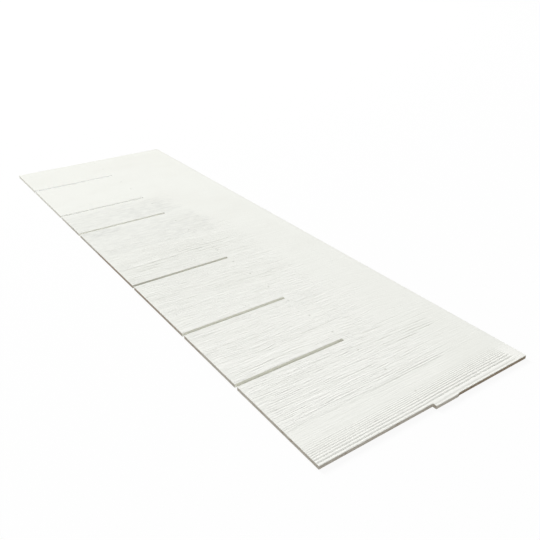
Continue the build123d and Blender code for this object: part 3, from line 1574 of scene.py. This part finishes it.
    def _wall_below(self, x: float, row: int) -> Surface:
        """Says what a wall that looks down the panel is: the butt, a keyway's top or the tab.

        Args:
            x: The X of the wall's first point.
            row: The row of the back's grid above the wall, which is 0 at the butt edge.

        Returns:
            The kind of surface.
        """
        if row > 0 and x < self.layout.step_end - SAME_PLACE:
            return Surface.KEYWAY_WALL
        return Surface.SEALED_EDGE

    def _wall_right(self, x: float, y: float) -> Surface:
        """Says what a wall that looks towards the tab end is: a keyway, the trim or a sealed end.

        Args:
            x: The X of the wall's lowest point.
            y: The Y of that point.

        Returns:
            The kind of surface.
        """
        if x < self.layout.step_end - SAME_PLACE:
            return Surface.KEYWAY_WALL
        return Surface.RAW_CUT if y > self.layout.tab_top - SAME_PLACE else Surface.SEALED_EDGE


@dataclass(frozen=True)
class Lamp:
    """A large soft lamp that faces the panel.

    Attributes:
        name: The lamp's name.
        direction: The way from the panel to the lamp.
        share: How much of the level face's light it gives.
    """

    name: str
    direction: Triple
    share: float


@dataclass
class Studio:
    """A white floor, a soft sky, three large lamps and the camera of the photograph.

    Attributes:
        floor_size: The length of the floor's sides.
        floor_drop: How far the floor lies below the panel.
        floor_colour: The colour of the floor where light falls on it.
        floor_shade: How much of the panel's shadow the floor shows.
        floor_gap: The length of light's way under the panel that the floor lets pass.
        sky: The light of the sky.
        lamps: The lamps.
        lamp_size: The length of a lamp's sides.
        lamp_distance: How far the lamps are from the panel.
        camera_place: Where the camera stands.
        camera_aim: The way it looks.
        camera_lens: Its focal length in millimetres.
        camera_sensor: The width of its sensor in millimetres.
        camera_clip: The nearest distance it sees.
    """

    floor_size: float = 14.0
    floor_drop: float = 0.3 * MM
    floor_colour: Colour = screen(250, 250, 250)
    floor_shade: float = 0.11
    floor_gap: float = 1.0 * MM
    sky: float = 0.48
    lamps: tuple[Lamp, ...] = (
        Lamp("key_lamp", (-0.82, -0.04, 0.57), 0.45),
        Lamp("fill_lamp", (0.80, -0.46, 0.38), 0.09),
        Lamp("under_lamp", (0.30, -0.35, -0.88), 0.40),
    )
    lamp_size: float = 4.0
    lamp_distance: float = 12.0
    camera_place: Triple = (1.01445, -0.552175, 0.55662)
    camera_aim: Triple = (-0.72118, 0.50633, -0.47279)
    camera_lens: float = 42.188
    camera_sensor: float = 36.0
    camera_clip: float = 0.01

    def build(self) -> None:
        """Makes the floor, the light and the camera."""
        self._floor()
        self._sky()
        for lamp in self.lamps:
            self._hang(lamp)
        self._camera()
        bpy.context.scene.view_settings.view_transform = "Standard"

    def _seen(self, bench: FinishBench) -> Signal:
        """Tells rays that show the white surroundings from rays that light the panel.

        Args:
            bench: The bench of the floor or the sky.

        Returns:
            1 for rays from the camera or off a glossy or clear surface, and 0 for the rest.
        """
        path = bench.add("ShaderNodeLightPath", output="Is Camera Ray")
        others = path.outlet("Is Glossy Ray") + path.outlet("Is Transmission Ray")
        return (path + others).ease(0.0, 1.0)

    def _floor(self) -> None:
        """Lays a white floor that keeps a soft shadow and is clear from below.

        Light on its short way between the floor and the back passes too, so that the back is lit.
        """
        half = self.floor_size / 2
        corners = [(-half, -half), (half, -half), (half, half), (-half, half)]
        mesh = bpy.data.meshes.new("floor")
        mesh.from_pydata([(x, y, -self.floor_drop) for x, y in corners], [], [(0, 1, 2, 3)])
        floor = bpy.data.objects.new("floor", mesh)
        bpy.context.scene.collection.objects.link(floor)

        material = bpy.data.materials.new("white_floor")
        material.use_nodes = True
        bench = FinishBench(material.node_tree)
        card = bench.add("ShaderNodeBsdfDiffuse", sockets={"Color": self.floor_colour})
        glow = bench.add("ShaderNodeEmission")
        lit = bench.add(
            "ShaderNodeMixShader",
            sockets={0: self._seen(bench) * (1 - self.floor_shade), 1: card, 2: glow},
        )
        clear = bench.add("ShaderNodeBsdfTransparent")
        below = bench.add("ShaderNodeNewGeometry", output="Backfacing")
        path = bench.add("ShaderNodeLightPath", output="Is Diffuse Ray")
        far = path.outlet("Ray Length").ease(self.floor_gap, 2 * self.floor_gap)
        under = (path + path.outlet("Is Shadow Ray")) * (1 - far)
        bench.close(bench.add("ShaderNodeMixShader", sockets={0: below + under, 1: lit, 2: clear}))
        mesh.materials.append(material)

    def _sky(self) -> None:
        """Makes an even sky that looks white."""
        world = bpy.data.worlds.new("studio_sky")
        world.use_nodes = True
        bench = FinishBench(world.node_tree)
        level = self._seen(bench).between(self.sky, 1.0)
        white = screen(255, 255, 255)
        sky = bench.add("ShaderNodeBackground", sockets={"Color": white, "Strength": level})
        bench.add("ShaderNodeOutputWorld", sockets={"Surface": sky})
        bpy.context.scene.world = world

    def _hang(self, lamp: Lamp) -> None:
        """Hangs a lamp so that it faces the panel.

        Args:
            lamp: The lamp.
        """
        towards = Vector(lamp.direction).normalized()
        light = bpy.data.lights.new(lamp.name, "AREA")
        light.size = self.lamp_size
        # With this energy, a level white face shows the lamp's share of full white.
        light.energy = lamp.share * (math.pi * self.lamp_distance) ** 2 / abs(towards.z)
        holder = bpy.data.objects.new(lamp.name, light)
        holder.location = towards * self.lamp_distance
        holder.rotation_euler = (-towards).to_track_quat("-Z", "Y").to_euler()
        bpy.context.scene.collection.objects.link(holder)

    def _camera(self) -> None:
        """Sets up the camera where the photograph was taken."""
        camera = bpy.data.cameras.new("photo_camera")
        camera.lens = self.camera_lens
        camera.sensor_width = self.camera_sensor
        camera.clip_start = self.camera_clip
        holder = bpy.data.objects.new("photo_camera", camera)
        holder.location = self.camera_place
        holder.rotation_euler = Vector(self.camera_aim).to_track_quat("-Z", "Y").to_euler()
        bpy.context.scene.collection.objects.link(holder)
        bpy.context.scene.camera = holder


def main() -> None:
    """Builds the panel and the studio, and reports each piece."""
    logging.basicConfig(level=logging.INFO, format="%(name)s: %(message)s")
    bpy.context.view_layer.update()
    layout = PanelLayout.from_node(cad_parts[PANEL_NODE])
    LOG.info(
        "%d keyways, %d nail marks %.2f mm deep and %.2f mm across", len(layout.keyways),
        len(layout.nail_marks), layout.nail_depth / MM, 2 * layout.nail_radius / MM,
    )

    panel = ShinglePanel(layout, WoodGrain())
    piece = panel.build()
    panel.dress(piece)
    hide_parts(PANEL_NODE)
    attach(piece, PANEL_BODY)
    triangles = sum(len(polygon.vertices) - 2 for polygon in piece.data.polygons)
    LOG.info("%s has %d triangles", piece.name, triangles)

    Studio().build()
    LOG.info("floor, sky, lamps and camera are in place")


if __name__ == "__main__":
    main()
